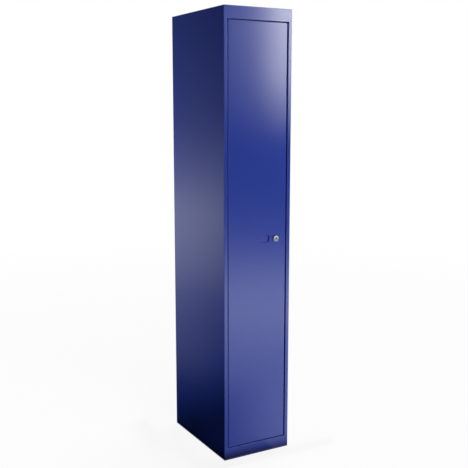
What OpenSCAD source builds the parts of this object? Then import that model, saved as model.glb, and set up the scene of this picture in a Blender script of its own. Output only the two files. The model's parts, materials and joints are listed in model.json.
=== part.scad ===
// Tall single-door steel locker, welded from folded sheet, with a cam lock and levelling feet.
// Millimetres. X runs right along the front, Y from front to back, Z up from the floor.
// The origin is on the floor under the middle of the cabinet, and the door faces -Y.

/* [Cabinet] */
// Overall width of the cabinet
cabinet_w = 305; // [280:1:450]
// Overall depth of the cabinet, without the lock
cabinet_d = 457; // [380:1:600]
// Overall height of the cabinet
cabinet_h = 1802; // [1600:1:2100]
// Thickness of the steel sheet
sheet_t = 1; // [0.8:0.1:1.2]
// Inside radius of every fold in the sheet
fold_r = 1; // [0.6:0.1:1.4]
// Width of the frame beside the door, of the rear lips and of the top border
stile_w = 16; // [14:0.5:22]
// Height of the frame above the door opening
header_h = 49.5; // [40:0.5:80]
// Height of the plinth below the door opening
plinth_h = 49.5; // [46:0.5:80]
// Width of the flange that the door closes against
stop_w = 12; // [10:0.5:16]

/* [Door] */
// Depth of the folded door pan
door_depth = 18; // [16:0.5:24]
// Width of the flange round the back of the door pan
door_flange_w = 12; // [10:0.5:20]
// Radius of the door's corners, seen from the front
door_corner_r = 3; // [2.5:0.5:8]
// Gap beside the door on the hinge side
hinge_gap = 2.5; // [2.4:0.1:4]
// Gap beside the door on the lock side
latch_gap = 5.5; // [3:0.5:7]
// Gap above and below the door
end_gap = 3; // [2.8:0.1:5]
// Space between the closed door and the stop flange
stop_gap = 3; // [2:0.5:5]
// Overall width of the stiffening channel in the door
stiffener_w = 60; // [50:1:80]
// Width of that channel's raised middle
stiffener_crown_w = 30; // [20:1:36]
// Distance from the door's middle to the channel's middle, towards the hinges
stiffener_offset = 32; // [26:1:45]

/* [Finger pull] */
// Length of the pressed finger pull, from its shallow end to its deep end
pull_l = 44; // [30:1:50]
// Height of the finger pull
pull_h = 30; // [26:1:50]
// Depth of the finger pull at its deep end
pull_depth = 5.5; // [4:0.5:13]
// Depth of the finger pull at its shallow end
pull_lead = 2; // [1:0.5:3]
// Corner radius of the finger pull
pull_r = 9; // [5:0.5:11]
// Distance from the lock's axis to the deep end of the finger pull
pull_to_lock = 28; // [24:1:40]
// Height of the finger pull's middle above the lock's axis
pull_lift = 2; // [0:0.5:10]

/* [Hinge] */
// Radius of the hinge pins
pin_r = 2.5; // [2:0.1:3]
// Distance from the door's edge to the hinge axis
pin_inset = 8; // [7:0.1:8.2]
// Distance from the door's front to the hinge axis
pin_setback = 6; // [5.7:0.1:6.3]
// Wall thickness of the plastic hinge bushes
bush_wall = 1.5; // [1:0.1:1.8]
// Length of a bush inside the frame
bush_l = 6; // [4:0.5:12]
// Thickness of a bush's flange
bush_flange_t = 1; // [0.6:0.1:1.4]
// Thickness of the collar on each pin
pin_collar_t = 2; // [1.5:0.1:3]
// Distance from the door's end to the inner pin bracket
pin_bracket_drop = 14; // [10:1:25]
// Thickness of the pin brackets
pin_bracket_t = 1.5; // [1:0.1:3]

/* [Lock] */
// Distance from the door's free edge to the lock's axis
lock_inset = 48.5; // [40:0.5:60]
// Height of the lock's axis above the floor
lock_z = 901; // [700:1:1100]
// Radius of the lock's round head
lock_head_r = 13; // [11.5:0.1:15]
// How far the lock's head stands out from the door
lock_head_l = 8; // [5:0.5:12]
// Radius of the lock's threaded body
lock_body_r = 9.5; // [8.5:0.1:10.5]
// Distance across the flats of the threaded body
lock_flats = 16.5; // [15:0.1:17]
// Radius of the turning plug
plug_r = 6.5; // [5.5:0.1:7]
// Depth of the plug's face below the head's face
plug_recess = 0.6; // [0.2:0.1:2]
// Width of the key slot
keyway_w = 2.2; // [1.6:0.1:2.6]
// Height of the key slot
keyway_h = 8; // [6:0.1:9]
// Number of wafers in the plug
wafer_count = 5; // [3:1:6]
// Thickness of a wafer
wafer_t = 0.7; // [0.5:0.1:1]
// Spacing of the wafers along the plug
wafer_pitch = 2.5; // [2:0.1:3]
// Distance across the flats of the lock's hexagon nut
lock_nut_flats = 24; // [23:0.5:30]
// Thickness of the lock's hexagon nut
lock_nut_t = 4; // [2:0.5:6]
// How far the cam's tip reaches under the stop flange
cam_bite = 8; // [5:0.5:10]
// Width of the cam's blade
cam_w = 16; // [14:0.5:20]
// Thickness of the cam's blade
cam_t = 2.5; // [1.5:0.1:4]
// Side of the square drive between plug and cam
cam_square = 8; // [7:0.1:9]
// Radius of the screw that holds the cam
cam_screw_r = 2.5; // [2:0.1:3]
// Radius of the cam screw's head
cam_screw_head_r = 5.5; // [5:0.1:7]
// Thickness of the cam screw's head
cam_screw_head_t = 3; // [2:0.1:4]

/* [Inside] */
// Clear height above the hat shelf
hat_space = 300; // [200:5:400]
// Height of the shelf's front lip
shelf_lip = 20; // [14:1:30]
// Height of the shelf's rear upstand
shelf_upstand = 12; // [8:1:20]
// Depth of the hem under the shelf's front lip
shelf_hem = 8; // [4:1:12]
// Space between the stop flange and the shelf's front
shelf_setback = 12; // [8:1:40]
// Space between the shelf's ends and the side panels
shelf_end_gap = 0.4; // [0.2:0.1:1]
// Length of a shelf bracket along the wall
shelf_bracket_l = 25; // [20:1:40]
// Width of both legs of a shelf bracket
shelf_bracket_leg = 18; // [14:1:25]
// Distance from the shelf's front and rear edges to its brackets
shelf_bracket_inset = 30; // [20:1:60]
// Radius of the coat rail
rail_r = 9.5; // [8:0.5:16]
// Wall thickness of the coat rail
rail_wall = 1.2; // [0.8:0.1:2]
// Distance from the shelf down to the coat rail's axis
rail_drop = 60; // [50:1:120]
// Radius of the flange on a rail cup
rail_flange_r = 18; // [17:0.5:26]
// Thickness of the flange on a rail cup
rail_flange_t = 2; // [1.5:0.1:4]
// Depth of a rail cup
rail_cup_l = 12; // [8:0.5:25]
// Wall thickness of a rail cup
rail_cup_wall = 2; // [1:0.1:3]

/* [Back] */
// Length of a vent slot
vent_l = 60; // [30:1:80]
// Height of a vent slot
vent_h = 5; // [3:0.5:8]
// Spacing of the vent slots
vent_pitch = 15; // [12:0.5:25]
// Number of vent slots in each group
vent_count = 5; // [3:1:7]
// Distance from each group's middle to the panel's top or foot
vent_inset = 160; // [130:5:200]
// Spacing of the two wall fixing holes
fixing_pitch = 180; // [120:1:220]
// Radius of the wall fixing holes
fixing_r = 4; // [3:0.5:5]
// Distance from the wall fixing holes to the top of the cabinet
fixing_drop = 70; // [40:1:80]

/* [Feet] */
// Radius of a foot's plastic pad
pad_r = 12; // [11:0.5:13]
// Thickness of a foot's pad
pad_t = 7.7; // [6:0.1:9]
// Height of the raised pads above the floor
pad_lift = 0.3; // [0.2:0.1:1]
// Radius of a foot's threaded stem
stem_r = 4; // [3:0.5:5]
// Distance across the flats of a foot's hexagon collar
collar_flats = 13; // [12:0.5:15]
// Thickness of a foot's hexagon collar
collar_t = 4; // [2:0.5:5]
// Distance from the cabinet's outside faces to a foot's axis
foot_inset = 20; // [19:0.5:22]
// How far a foot winds out
foot_travel = 12; // [8:1:12]
// Thickness of the base frame and of the foot brackets
base_t = 1.5; // [1.2:0.1:2]
// Width of the base frame's flat ring
base_ring_w = 37; // [36:0.5:40]
// Height of the base frame's upright edge
base_upright = 20; // [15:1:24]
// Height of the foot brackets' upper face
foot_bracket_h = 22; // [20:1:24]
// Length of a foot bracket
foot_bracket_l = 30; // [26:1:36]
// Distance across the flats of a foot nut
foot_nut_flats = 13; // [12:0.5:15]
// Thickness of a foot nut
foot_nut_t = 6.5; // [5:0.5:8]

/* [Buffers] */
// Radius of a rubber door buffer
buffer_r = 3.4; // [2.6:0.1:3.5]
// Radius of a buffer's stem
buffer_stem_r = 1.8; // [1.5:0.1:2.2]
// Distance from the door's ends to the buffers
buffer_inset = 250; // [100:10:400]

/* [Fits] */
// Radial clearance of a pin, plug or stem that turns or slides in its hole
running_gap = 0.05; // [0.02:0.01:0.08]
// Clearance round a piece that is set in a hole and stays there
seat_gap = 0.1; // [0.05:0.05:0.2]
// Space between moving faces that pass each other
passing_gap = 0.5; // [0.3:0.1:0.8]

/* [Hidden] */
$fn = 48;

// Finishes
PAINT = [0.13, 0.20, 0.50];
ZINC = [0.72, 0.74, 0.76];
NICKEL = [0.70, 0.73, 0.77];
NYLON = [0.16, 0.16, 0.17];
RUBBER = [0.08, 0.08, 0.09];

// Steps in each rounded fold, and a small overrun for cuts
ARC_STEPS = 5;
CUT = 1;

// Cabinet shell
half_w = cabinet_w / 2;
half_d = cabinet_d / 2;
front_y = -half_d;
fold_out = fold_r + sheet_t;
wall_x = half_w - sheet_t;
wall_y = half_d - sheet_t;
back_face_y = half_d - 2 * sheet_t;

// Door opening
opening_x = half_w - stile_w;
opening_z0 = plinth_h;
opening_z1 = cabinet_h - header_h;
stop_y = front_y + door_depth + stop_gap;
stop_x = opening_x - stop_w;

// Door pan
door_x0 = -opening_x + hinge_gap;
door_x1 = opening_x - latch_gap;
door_z0 = opening_z0 + end_gap;
door_z1 = opening_z1 - end_gap;
door_back = front_y + door_depth;
skin_y = front_y + sheet_t;
door_mid_x = (door_x0 + door_x1) / 2;

// Hinge axis and the bushes on it
pin_x = door_x0 + pin_inset;
pin_y = front_y + pin_setback;
bush_r = pin_r + running_gap + bush_wall;
pin_collar_r = pin_setback - fold_out;
bush_flange_r = min(bush_r + bush_wall, pin_setback - passing_gap);
pin_end_l = bush_l - 1;
pin_tail = 2;

// Lock axis, and the stations along it from front to back
lock_x = door_x1 - lock_inset;
lock_face_y = front_y - lock_head_l;
lock_end_y = door_back + stop_gap - passing_gap;
cam_y = stop_y + sheet_t + passing_gap;
cam_l = stop_x + cam_bite - lock_x;
keyway_depth = 20;
wafer_start = 6;
wafer_rim = 1.5;
wafer_window_h = keyway_h - 2;
cam_screw_l = 10;
screw_slot_w = 1.2;
head_rim = 1.5;
head_taper = 0.8;

// Finger pull
pull_x1 = lock_x - pull_to_lock;
pull_x0 = pull_x1 - pull_l;
pull_z = lock_z + pull_lift;

// Hat shelf and coat rail
shelf_z = cabinet_h - 2 * sheet_t - hat_space;
shelf_front_y = stop_y + sheet_t + shelf_setback;
shelf_x = wall_x - shelf_end_gap;
rail_z = shelf_z - rail_drop;
rail_y = (stop_y + back_face_y) / 2;
rivet_r = 1.6;
rivet_head_r = 3.2;
rivet_head_t = 0.8;
shelf_bracket_ys = [shelf_front_y + shelf_bracket_inset,
    back_face_y - shelf_bracket_inset - shelf_bracket_l];

// Back panel
fixing_z = cabinet_h - fixing_drop;
vent_zs = [vent_inset, cabinet_h - vent_inset];

// Feet
pad_hole_r = pad_r + 1;
pad_bevel = 1;
foot_x = half_w - foot_inset;
foot_y = half_d - foot_inset;
stem_z = pad_lift + pad_t / 2;
collar_z = pad_lift + pad_t;
stem_top = foot_bracket_h + foot_nut_t + foot_travel;

// Buffers, centred where the door's rear flange lies over the stop flange
buffer_x = (door_x1 + stop_x) / 2;
buffer_zs = [door_z0 + buffer_inset, door_z1 - buffer_inset];
buffer_gap = 0.3;

// Extrusions along each axis. Seen along X the outline is drawn in Y and Z, along Y in X and Z.
module along_x(x0, x1) {
    translate([x0, 0, 0])
        rotate([90, 0, 90])
            linear_extrude(x1 - x0)
                children();
}
module along_y(y0, y1) {
    translate([0, y1, 0])
        rotate([90, 0, 0])
            linear_extrude(y1 - y0)
                children();
}
module along_z(z0, z1) {
    translate([0, 0, z0])
        linear_extrude(z1 - z0)
            children();
}
module rod_y(r, y0, y1) {
    along_y(y0, y1)
        circle(r);
}

// A rectangle with its own radius at each corner, in the order bottom left, bottom right,
// top right, top left
function quarter(centre, r, start) = r <= 0 ? [centre] :
    [for (i = [0:ARC_STEPS]) centre + r * [cos(start + 90 * i / ARC_STEPS), sin(start + 90 * i / ARC_STEPS)]];
module rounded_rect(lo, hi, r) {
    polygon(concat(
        quarter(lo + [r[0], r[0]], r[0], 180),
        quarter([hi[0] - r[1], lo[1] + r[1]], r[1], 270),
        quarter(hi - [r[2], r[2]], r[2], 0),
        quarter([lo[0] + r[3], hi[1] - r[3]], r[3], 90)));
}

// The edge view of a folded strip. The path is the strip's outer line, with the sheet's
// thickness on its left. Each corner becomes an arc: fold_r inside and fold_out outside.
function heading(a, b) = atan2(b[1] - a[1], b[0] - a[0]);
function left_of(h) = [-sin(h), cos(h)];
function turn(h0, h1) = h1 - h0 > 180 ? h1 - h0 - 360 : h1 - h0 <= -180 ? h1 - h0 + 360 : h1 - h0;
function fold_stations(a, b, c, t) =
    let (h0 = heading(a, b))
    let (bend = turn(h0, heading(b, c)))
    let (side = sign(bend))
    let (r = side > 0 ? fold_r + t : fold_r)
    let (centre = b - r * tan(abs(bend) / 2) * [cos(h0), sin(h0)] + side * r * left_of(h0))
    [for (i = [0:ARC_STEPS])
        let (h = h0 + bend * i / ARC_STEPS)
        [centre - side * r * left_of(h), h]];
function strip_stations(path, t) =
    let (last = len(path) - 1)
    concat(
        [[path[0], heading(path[0], path[1])]],
        [for (i = [1:last - 1]) each fold_stations(path[i - 1], path[i], path[i + 1], t)],
        [[path[last], heading(path[last - 1], path[last])]]);
module folded_strip(path, t = sheet_t) {
    stations = strip_stations(path, t);
    polygon(concat(
        [for (s = stations) s[0]],
        [for (i = [len(stations) - 1:-1:0]) stations[i][0] + t * left_of(stations[i][1])]));
}

// The cabinet's outer form drawn in by inset, with rounded upright and top edges
module cabinet_form(inset, base_z) {
    r = fold_out - inset;
    x = half_w - inset;
    y = half_d - inset;
    top = cabinet_h - inset;
    intersection() {
        along_z(base_z, top)
            rounded_rect([-x, -y], [x, y], [r, r, r, r]);
        along_y(-y, y)
            rounded_rect([-x, base_z], [x, top], [0, 0, r, r]);
        along_x(-x, x)
            rounded_rect([-y, base_z], [y, top], [0, 0, r, r]);
    }
}
module cabinet_shell() {
    difference() {
        cabinet_form(0, 0);
        cabinet_form(sheet_t, -CUT);
    }
}

// Left-hand side panel: rear lip, wall and front stile in one sheet. Along the door opening
// the stile goes on into a return and the flange that the door closes against.
module side_panel() {
    wall_path = [[-opening_x, half_d], [-half_w, half_d], [-half_w, front_y], [-opening_x, front_y]];
    frame_path = concat(wall_path, [[-opening_x, stop_y], [-stop_x, stop_y]]);
    along_z(0, opening_z0)
        folded_strip(wall_path);
    along_z(opening_z0, opening_z1)
        folded_strip(frame_path);
    along_z(opening_z1, cabinet_h - fold_out)
        folded_strip(wall_path);
    intersection() {
        cabinet_shell();
        translate([-half_w, front_y, cabinet_h - fold_out])
            cube([stile_w, cabinet_d, fold_out]);
    }
}
module side_panel_left() {
    color(PAINT)
        side_panel();
}
module side_panel_right() {
    color(PAINT)
        difference() {
            mirror([1, 0, 0])
                side_panel();
            for (z = buffer_zs)
                translate([buffer_x, 0, z])
                    rod_y(buffer_stem_r + seat_gap, stop_y - CUT, stop_y + sheet_t + CUT);
        }
}

// Back panel, welded inside the rear lips, with two groups of vent slots and wall fixing holes
module back_panel() {
    half_panel = wall_x - fold_r;
    color(PAINT)
        along_y(back_face_y, wall_y)
            difference() {
                rounded_rect([-half_panel, 0], [half_panel, cabinet_h - sheet_t - fold_r], [0, 0, 0, 0]);
                for (z = vent_zs)
                    for (i = [0:vent_count - 1])
                        translate([0, z + (i - (vent_count - 1) / 2) * vent_pitch])
                            vent_slot();
                for (side = [-1, 1])
                    translate([side * fixing_pitch / 2, fixing_z])
                        circle(fixing_r);
            }
}
module vent_slot() {
    square([vent_l - vent_h, vent_h], center = true);
    for (side = [-1, 1])
        translate([side * (vent_l - vent_h) / 2, 0])
            circle(vent_h / 2);
}

// Top panel, welded up under the border of the side panels and rails
module top_panel() {
    x = wall_x - fold_r;
    y = wall_y - fold_r;
    color(PAINT)
        translate([-x, -y, cabinet_h - 2 * sheet_t])
            cube([2 * x, 2 * y, sheet_t]);
}

// Angle along the rear top edge
module rear_rail() {
    color(PAINT)
        intersection() {
            cabinet_shell();
            translate([-opening_x, half_d - stile_w, cabinet_h - stile_w])
                cube([2 * opening_x, stile_w, stile_w]);
        }
}

// Frame above the door: top border, front face, soffit and stop flange
module header_rail() {
    path = [[front_y + stile_w, cabinet_h], [front_y, cabinet_h], [front_y, opening_z1],
        [stop_y, opening_z1], [stop_y, opening_z1 - stop_w]];
    color(PAINT)
        difference() {
            along_x(-opening_x, opening_x)
                folded_strip(path);
            for (side = [-1, 1])
                translate([side * (stop_x + stop_w / 2 + CUT / 2), stop_y, opening_z1 - stop_w / 2 - CUT / 2])
                    cube([stop_w + CUT, 2 * door_depth, stop_w + CUT], center = true);
            bush_hole(opening_z1);
        }
}

// Frame below the door: stop flange, sill and front face down to the floor
module bottom_rail() {
    path = [[stop_y, opening_z0 + stop_w], [stop_y, opening_z0], [front_y, opening_z0], [front_y, 0]];
    color(PAINT)
        difference() {
            along_x(-opening_x, opening_x)
                folded_strip(path);
            for (side = [-1, 1])
                translate([side * (stop_x + stop_w / 2 + CUT / 2), stop_y, opening_z0 + stop_w / 2 + CUT / 2])
                    cube([stop_w + CUT, 2 * door_depth, stop_w + CUT], center = true);
            bush_hole(opening_z0 - sheet_t);
        }
}
module bush_hole(z) {
    translate([pin_x, pin_y, z - CUT])
        cylinder(r = bush_r + seat_gap, h = sheet_t + 2 * CUT);
}

// Flat ring with an upright edge, on which the locker stands. The pads drop through its holes.
module base_frame() {
    lo = [-wall_x, -wall_y];
    hi = [wall_x, back_face_y];
    edge = [base_t, base_t];
    ring = [base_ring_w, base_ring_w];
    color(PAINT) {
        along_z(0, base_t)
            difference() {
                rounded_rect(lo, hi, [fold_r, fold_r, 0, 0]);
                rounded_rect(lo + ring, hi - ring, [fold_r, fold_r, fold_r, fold_r]);
                at_feet()
                    circle(pad_hole_r);
            }
        along_z(base_t, base_upright)
            difference() {
                rounded_rect(lo, hi, [fold_r, fold_r, 0, 0]);
                rounded_rect(lo + edge, hi - edge, [0, 0, 0, 0]);
            }
    }
}
module at_feet() {
    for (side = [-1, 1])
        for (end = [-1, 1])
            translate([side * foot_x, end * foot_y])
                children();
}

// Floor of the compartment, folded down at the side panels
module base_panel() {
    drop = stile_w;
    path = [[wall_x, opening_z0 - drop], [wall_x, opening_z0], [-wall_x, opening_z0],
        [-wall_x, opening_z0 - drop]];
    color(PAINT)
        along_y(stop_y + sheet_t, back_face_y)
            folded_strip(path);
}

// Shelf with a rear upstand and a hemmed front lip
module hat_shelf() {
    face_y = back_face_y - sheet_t;
    path = [[face_y, shelf_z + shelf_upstand], [face_y, shelf_z], [shelf_front_y, shelf_z],
        [shelf_front_y, shelf_z - shelf_lip], [shelf_front_y + shelf_hem, shelf_z - shelf_lip]];
    color(PAINT)
        difference() {
            along_x(-shelf_x, shelf_x)
                folded_strip(path);
            at_rivets()
                translate([0, 0, -sheet_t - CUT])
                    cylinder(r = rivet_r + seat_gap, h = sheet_t + 2 * CUT);
        }
}

// Places on the shelf's upper face above the middle of each bracket's leg
module at_rivets() {
    for (side = [-1, 1])
        for (y = shelf_bracket_ys)
            translate([side * (wall_x - shelf_bracket_leg / 2), y + shelf_bracket_l / 2, shelf_z])
                children();
}

// Four angles welded to the walls under the shelf
module shelf_brackets() {
    z = shelf_z - sheet_t;
    path = [[wall_x, z - shelf_bracket_leg], [wall_x, z], [wall_x - shelf_bracket_leg, z]];
    color(PAINT)
        difference() {
            for (side = [0, 1])
                mirror([side, 0, 0])
                    for (y = shelf_bracket_ys)
                        along_y(y, y + shelf_bracket_l)
                            folded_strip(path);
            at_rivets()
                translate([0, 0, -2 * sheet_t - CUT])
                    cylinder(r = rivet_r + seat_gap, h = 2 * sheet_t + 2 * CUT);
        }
}

// Rivets with a low head above the shelf and a rolled tail below the bracket
module shelf_rivets() {
    color(ZINC)
        at_rivets() {
            cylinder(r1 = rivet_head_r, r2 = rivet_r, h = rivet_head_t);
            translate([0, 0, -2 * sheet_t])
                cylinder(r = rivet_r, h = 2 * sheet_t);
            translate([0, 0, -2 * sheet_t - rivet_head_t])
                cylinder(r = rivet_r + 2 * seat_gap + rivet_head_t, h = rivet_head_t);
        }
}

// Steel tube across the compartment for clothes hangers
module coat_rail() {
    end_x = wall_x - rail_flange_t - seat_gap;
    color(ZINC)
        along_x(-end_x, end_x)
            translate([rail_y, rail_z])
                difference() {
                    circle(rail_r);
                    circle(rail_r - rail_wall);
                }
}

// A flanged cup on each wall that holds the rail's end
module rail_cups() {
    color(ZINC)
        for (side = [0, 1])
            mirror([side, 0, 0]) {
                along_x(wall_x - rail_flange_t, wall_x)
                    translate([rail_y, rail_z])
                        circle(rail_flange_r);
                along_x(wall_x - rail_flange_t - rail_cup_l, wall_x - rail_flange_t)
                    translate([rail_y, rail_z])
                        difference() {
                            circle(rail_r + seat_gap + rail_cup_wall);
                            circle(rail_r + seat_gap);
                        }
            }
}

// Plastic bushes pressed into the soffit and the sill, flanges facing the door
module hinge_bushes() {
    color(NYLON)
        for (end = [0, 1])
            at_hinge_end(end)
                difference() {
                    union() {
                        translate([0, 0, -bush_flange_t])
                            cylinder(r = bush_flange_r, h = bush_flange_t);
                        cylinder(r = bush_r, h = bush_l);
                    }
                    translate([0, 0, -bush_flange_t - CUT])
                        cylinder(r = pin_r + running_gap, h = bush_flange_t + bush_l + 2 * CUT);
                }
}

// Places at the upper (0) and lower (1) end of the hinge axis: there +Z points out of the door
// opening, into the frame
module at_hinge_end(end) {
    translate([pin_x, pin_y, end == 0 ? opening_z1 : opening_z0])
        mirror([0, 0, end])
            children();
}

// Rubber buffers plugged into the lock-side stop flange
module door_buffers() {
    color(RUBBER)
        for (z = buffer_zs)
            translate([buffer_x, 0, z]) {
                rod_y(buffer_r, door_back + buffer_gap, stop_y);
                rod_y(buffer_stem_r, stop_y, stop_y + sheet_t);
                rod_y(buffer_stem_r + 2 * seat_gap, stop_y + sheet_t, stop_y + 2 * sheet_t);
            }
}

// Folded brackets over the pads. Each stands on the ring and is welded to its upright edge.
module foot_brackets() {
    edge_x = wall_x - base_t;
    leg_x = wall_x - base_ring_w + base_t;
    path = [[edge_x, foot_bracket_h], [leg_x, foot_bracket_h], [leg_x, base_t]];
    color(ZINC)
        for (side = [0, 1])
            for (end = [-1, 1])
                mirror([side, 0, 0])
                    difference() {
                        along_y(end * foot_y - foot_bracket_l / 2, end * foot_y + foot_bracket_l / 2)
                            folded_strip(path, base_t);
                        translate([foot_x, end * foot_y, foot_bracket_h - base_t - CUT])
                            cylinder(r = stem_r + seat_gap, h = base_t + 2 * CUT);
                    }
}

// Hexagon nuts welded on the brackets
module foot_nuts() {
    color(ZINC)
        translate([0, 0, foot_bracket_h])
            at_feet()
                difference() {
                    hexagon(foot_nut_flats, foot_nut_t);
                    translate([0, 0, -CUT])
                        cylinder(r = stem_r + running_gap, h = foot_nut_t + 2 * CUT);
                }
}
module hexagon(flats, h) {
    cylinder(r = flats / 2 / cos(30), h = h, $fn = 6);
}

// The door's outer form drawn in by inset
module door_form(inset) {
    r = fold_out - inset;
    c = door_corner_r - inset;
    x0 = door_x0 + inset;
    x1 = door_x1 - inset;
    y0 = front_y + inset;
    y1 = door_back - inset;
    z0 = door_z0 + inset;
    z1 = door_z1 - inset;
    intersection() {
        along_z(z0, z1)
            rounded_rect([x0, y0], [x1, y1], [r, r, r, r]);
        along_x(x0, x1)
            rounded_rect([y0, z0], [y1, z1], [r, r, r, r]);
        along_y(y0, y1)
            rounded_rect([x0, z0], [x1, z1], [c, c, c, c]);
    }
}

// Door skin: one pan with flanged edges, pierced for the lock and pressed in for the fingers
module door_skin() {
    f = door_flange_w;
    color(PAINT)
        difference() {
            union() {
                difference() {
                    door_form(0);
                    door_form(sheet_t);
                    along_y(door_back - sheet_t - CUT, door_back + CUT)
                        rounded_rect([door_x0 + f, door_z0 + f], [door_x1 - f, door_z1 - f], [0, 0, 0, 0]);
                }
                finger_pull(sheet_t);
            }
            finger_pull(0);
            along_y(front_y - CUT, skin_y + CUT)
                translate([lock_x, lock_z])
                    lock_section(seat_gap);
            for (end = [0, 1])
                at_hinge_end(end)
                    translate([0, 0, -end_gap - sheet_t - CUT])
                        cylinder(r = pin_r + seat_gap, h = sheet_t + 2 * CUT);
        }
}

// Ramped pocket: shallow at its hinge-side end and deepest at the end by the lock. Grown by t it
// is the outside of the pressing, and with t at 0 it is the space for the fingers.
module finger_pull(t) {
    r = pull_r + t;
    over = t > 0 ? 0 : CUT;
    x0 = pull_x0 - t;
    x1 = pull_x1 + t;
    z0 = pull_z - pull_h / 2 - t;
    z1 = pull_z + pull_h / 2 + t;
    lead_y = front_y + pull_lead + t;
    floor_y = front_y + pull_depth + t;
    intersection() {
        along_y(front_y - over, floor_y)
            rounded_rect([x0, z0], [x1, z1], [r, r, r, r]);
        along_z(z0, z1)
            polygon([[x0, front_y - over], [x1, front_y - over], [x1, floor_y], [pull_x1, floor_y],
                [pull_x0, lead_y], [x0, lead_y]]);
    }
}

// Round with two flats, grown by gap
module lock_section(gap) {
    intersection() {
        circle(lock_body_r + gap);
        square([lock_flats + 2 * gap, 2 * lock_body_r + 4 * gap], center = true);
    }
}

// Hat-shaped channel up the inside of the door
module door_stiffener() {
    mid = door_mid_x - stiffener_offset;
    outer = stiffener_w / 2;
    crown = stiffener_crown_w / 2;
    crown_y = door_back - sheet_t - passing_gap;
    path = [[mid + outer, skin_y + sheet_t], [mid + crown, skin_y + sheet_t], [mid + crown, crown_y],
        [mid - crown, crown_y], [mid - crown, skin_y + sheet_t], [mid - outer, skin_y + sheet_t]];
    color(PAINT)
        along_z(door_z0 + fold_out, door_z1 - fold_out)
            folded_strip(path);
}

// A hinge pin, drawn at its end of the axis: the shaft runs from the inner bracket out into the
// bush, with a collar against the inside of the door's edge
module hinge_pin(end) {
    inner_z = -end_gap - pin_bracket_drop - pin_bracket_t - pin_tail;
    collar_z0 = -end_gap - sheet_t - pin_collar_t;
    at_hinge_end(end) {
        translate([0, 0, inner_z])
            cylinder(r = pin_r, h = pin_end_l - inner_z);
        translate([0, 0, collar_z0])
            cylinder(r = pin_collar_r, h = pin_collar_t);
    }
}
module hinge_pin_top() {
    color(PAINT)
        hinge_pin(0);
}

// The lower pin also has a thrust ring that carries the door's weight on the bush
module hinge_pin_bottom() {
    ring_l = end_gap - bush_flange_t - seat_gap;
    color(PAINT) {
        hinge_pin(1);
        at_hinge_end(1)
            translate([0, 0, -end_gap])
                cylinder(r = pin_collar_r, h = ring_l);
    }
}

// Angles welded inside the skin that steady the inner ends of the pins
module pin_brackets() {
    tab = pin_bracket_drop;
    top = -end_gap - pin_bracket_drop;
    y0 = skin_y - pin_y;
    y1 = door_back - sheet_t - passing_gap - pin_y;
    path = [[y1, top], [y0, top], [y0, top - tab]];
    x0 = -pin_inset + fold_out;
    color(ZINC)
        for (end = [0, 1])
            at_hinge_end(end)
                difference() {
                    along_x(x0, x0 + 2 * pin_inset)
                        folded_strip(path, pin_bracket_t);
                    translate([0, 0, top - pin_bracket_t - CUT])
                        cylinder(r = pin_r + seat_gap, h = pin_bracket_t + 2 * CUT);
                }
}

// Lock housing: round head with a rolled rim, and a body with two flats through the door
module lock_housing() {
    color(NICKEL)
        translate([lock_x, 0, lock_z])
            difference() {
                union() {
                    lock_head();
                    along_y(front_y, lock_end_y)
                        lock_section(0);
                }
                rod_y(plug_r + running_gap, lock_face_y - CUT, lock_end_y + CUT);
            }
}

// Head outline turned about the lock's axis: a slightly tapered side and a rounded rim
module lock_head() {
    face_r = lock_head_r - head_taper;
    translate([0, front_y, 0])
        rotate([90, 0, 0])
            rotate_extrude()
                polygon(concat(
                    [[0, 0], [lock_head_r, 0]],
                    [for (a = [0:15:90])
                        [face_r - head_rim + head_rim * cos(a), lock_head_l - head_rim + head_rim * sin(a)]],
                    [[0, lock_head_l]]));
}

// Hexagon nut that clamps the door skin against the head
module lock_nut() {
    color(ZINC)
        translate([lock_x, skin_y + lock_nut_t, lock_z])
            rotate([90, 0, 0])
                difference() {
                    hexagon(lock_nut_flats, lock_nut_t);
                    translate([0, 0, -CUT])
                        cylinder(r = lock_body_r + seat_gap, h = lock_nut_t + 2 * CUT);
                }
}

// Turning plug with key slot, wafer slots, a square drive for the cam and a screw hole
module lock_plug() {
    face_y = lock_face_y + plug_recess;
    drive_end_y = cam_y + cam_t - 2 * seat_gap;
    wafer_w = wafer_width();
    color(NICKEL)
        translate([lock_x, 0, lock_z])
            difference() {
                union() {
                    rod_y(plug_r, face_y, cam_y);
                    along_y(cam_y, drive_end_y)
                        square([cam_square, cam_square], center = true);
                }
                along_y(face_y - CUT, face_y + keyway_depth)
                    square([keyway_w, keyway_h], center = true);
                for (i = [0:wafer_count - 1])
                    along_y(wafer_y(i) - seat_gap, wafer_y(i) + wafer_t + seat_gap)
                        square([wafer_w + 2 * seat_gap, 2 * plug_r + CUT], center = true);
                rod_y(cam_screw_r + seat_gap, drive_end_y - cam_screw_l, drive_end_y + CUT);
            }
}
function wafer_y(i) = lock_face_y + plug_recess + wafer_start + i * wafer_pitch;
function wafer_width() = keyway_w + 2 * wafer_rim;
function wafer_height() = 2 * sqrt(pow(plug_r, 2) - pow(wafer_width() / 2, 2)) - 2 * seat_gap;

// Wafers, drawn in as they stand with the right key in the lock
module lock_wafers() {
    color("gold")
        translate([lock_x, 0, lock_z])
            for (i = [0:wafer_count - 1])
                along_y(wafer_y(i), wafer_y(i) + wafer_t)
                    difference() {
                        square([wafer_width(), wafer_height()], center = true);
                        square([keyway_w + 2 * seat_gap, wafer_window_h], center = true);
                    }
}

// Cam blade, hanging down at rest: the lock is then open
module lock_cam() {
    color(ZINC)
        along_y(cam_y, cam_y + cam_t)
            translate([lock_x, lock_z])
                difference() {
                    union() {
                        circle(cam_w / 2);
                        translate([-cam_w / 2, -cam_l])
                            square([cam_w, cam_l]);
                    }
                    square([cam_square + 2 * seat_gap, cam_square + 2 * seat_gap], center = true);
                }
}

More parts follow.
